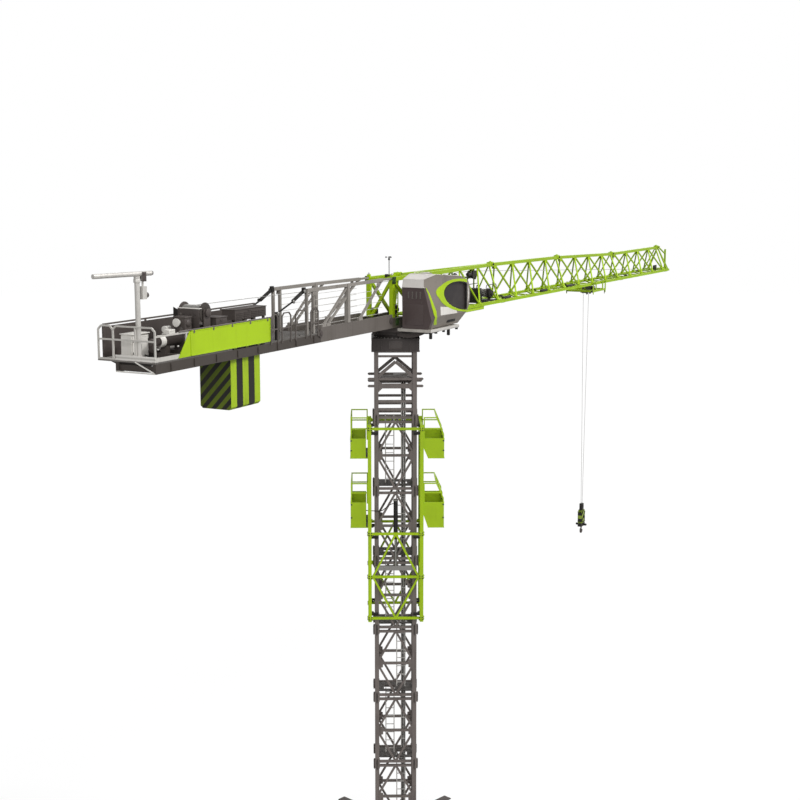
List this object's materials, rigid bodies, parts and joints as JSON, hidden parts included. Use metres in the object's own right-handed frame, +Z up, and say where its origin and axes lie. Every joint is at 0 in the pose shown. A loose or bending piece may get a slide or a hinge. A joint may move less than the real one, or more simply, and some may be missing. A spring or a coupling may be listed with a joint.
{
  "type": "half-size scale model of a flat-top tower crane",
  "caption": "Flat-top tower crane at half size: cross base, lattice mast with climbing cage, cab, counter-jib with slabs and winch, and a lattice jib with trolley and hook.",
  "frame": {"origin": "underside of the base frame on the slewing axis", "axes": "+X along the jib, +Z up, the cab on the -Y side"},
  "size_m": [28.406, 3.7354, 13.1873],
  "materials": {
    "lime_paint": "satin lime paint",
    "dark_paint": "satin dark grey paint",
    "grey_paint": "satin grey paint",
    "black_paint": "satin black paint",
    "white_paint": "white paint",
    "galvanised": "galvanised",
    "steel": "ground steel",
    "rope": "wire rope",
    "cab_glass": "dark tinted glass"
  },
  "bodies": {
    "root": {"base_frame": "dark_paint", "mast_section_1": "dark_paint", "mast_section_2": "dark_paint", "mast_section_3": "dark_paint", "mast_section_4": "dark_paint", "mast_section_5": "dark_paint", "mast_section_6": "dark_paint", "slewing_support": "dark_paint", "slewing_ring_box": "dark_paint", "mast_ladders": "galvanised", "mast_landings": "galvanised", "climb_ram_rod": "steel"},
    "climbing_cage": {"cage_side_left": "lime_paint", "cage_side_right": "lime_paint", "cage_face_front": "lime_paint", "cage_face_back": "lime_paint", "platform_upper_left": "lime_paint", "platform_upper_right": "lime_paint", "platform_lower_left": "lime_paint", "platform_lower_right": "lime_paint", "climb_ram_barrel": "black_paint"},
    "slewing_part": {"turntable": "dark_paint", "tower_head": "lime_paint", "counter_jib_frame": "grey_paint", "counter_jib_deck": "grey_paint", "counter_truss_near": "grey_paint", "counter_truss_far": "grey_paint", "pendant_links": "black_paint", "counterweight_1": "lime_paint", "counterweight_2": "black_paint", "counterweight_3": "lime_paint", "counterweight_4": "black_paint", "counterweight_5": "lime_paint", "rear_railing": "galvanised", "walkway_railing": "galvanised", "banner_panel": "lime_paint", "far_parapet": "grey_paint", "hoist_winch": "black_paint", "electrical_cabinet": "white_paint", "davit_post": "white_paint", "cab_body": "grey_paint", "cab_glass": "cab_glass", "cab_floor_frame": "black_paint", "jib_section_1": "lime_paint", "jib_section_2": "lime_paint", "jib_section_3": "lime_paint", "jib_section_4": "lime_paint", "jib_tip": "lime_paint", "root_platform": "lime_paint", "trolley_winch": "black_paint", "hoist_rope": "rope", "wind_post": "galvanised"},
    "hoist_drum": {"hoist_drum": "black_paint"},
    "trolley_drum": {"trolley_drum": "black_paint"},
    "davit_arm": {"davit_arm": "white_paint"},
    "trolley": {"trolley": "lime_paint"},
    "hook_block": {"hook_block": "lime_paint", "rope_falls": "rope"},
    "hook": {"hook": "black_paint"},
    "wind_cups": {"wind_cups": "black_paint"}
  },
  "joints": [
    {"name": "slewing", "type": "hinge", "parent": "root", "child": "slewing_part", "pos_m": [0, 0, 11.39], "axis": [0, 0, 1], "continuous": true},
    {"name": "cage_climb", "type": "slide", "parent": "root", "child": "climbing_cage", "axis": [0, 0, 1], "range_m": [0, 0.6]},
    {"name": "trolley_travel", "type": "slide", "parent": "slewing_part", "child": "trolley", "axis": [1, 0, 0], "range_m": [-7.1, 5.5]},
    {"name": "hook_lift", "type": "slide", "parent": "trolley", "child": "hook_block", "axis": [0, 0, 1], "range_m": [-4, 5.6], "deforming": ["rope_falls"]},
    {"name": "hook_swivel", "type": "hinge", "parent": "hook_block", "child": "hook", "pos_m": [11.55, 0, 4.632], "axis": [0, 0, 1], "continuous": true},
    {"name": "hoist_drum_spin", "type": "hinge", "parent": "slewing_part", "child": "hoist_drum", "pos_m": [-7.1, 0, 12.43], "axis": [0, 1, 0], "continuous": true},
    {"name": "trolley_drum_spin", "type": "hinge", "parent": "slewing_part", "child": "trolley_drum", "pos_m": [4.44, 0, 11.935], "axis": [0, 1, 0], "continuous": true},
    {"name": "davit_swing", "type": "hinge", "parent": "slewing_part", "child": "davit_arm", "pos_m": [-8.6, -0.01, 13.074], "axis": [0, 0, 1], "continuous": true},
    {"name": "wind_cups_spin", "type": "hinge", "parent": "slewing_part", "child": "wind_cups", "pos_m": [-0.27, 0, 12.995], "axis": [0, 0, 1], "continuous": true}
  ],
  "couplings": [
    {"joint": "hoist_drum_spin", "follows": "hook_lift", "rad_per_m": 18.182},
    {"joint": "trolley_drum_spin", "follows": "trolley_travel", "rad_per_m": 11.111}
  ]
}
